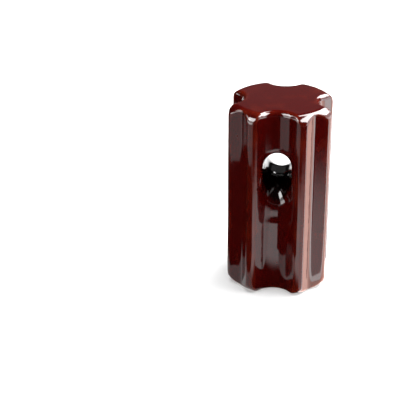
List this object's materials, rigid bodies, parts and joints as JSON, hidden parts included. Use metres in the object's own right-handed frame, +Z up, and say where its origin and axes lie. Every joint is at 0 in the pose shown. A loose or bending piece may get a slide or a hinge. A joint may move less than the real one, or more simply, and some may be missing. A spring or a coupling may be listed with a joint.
{
  "type": "guy strain insulator",
  "caption": "Fluted column of glazed porcelain with two wire holes crossing at right angles, saddle mouths and wire grooves, for insulating a guy wire in compression.",
  "frame": {"origin": "centre of the foot, the unglazed face that the insulator stands on", "axes": "+Z up the column; +Y and -Y through the upper wire hole; +X and -X through the lower wire hole"},
  "size_m": [0.077, 0.077, 0.15],
  "materials": {
    "bare_porcelain": "matte",
    "brown_glaze": "gloss"
  },
  "bodies": {
    "root": {"porcelain_body": "bare_porcelain", "glaze_coat": "brown_glaze"}
  },
  "joints": []
}
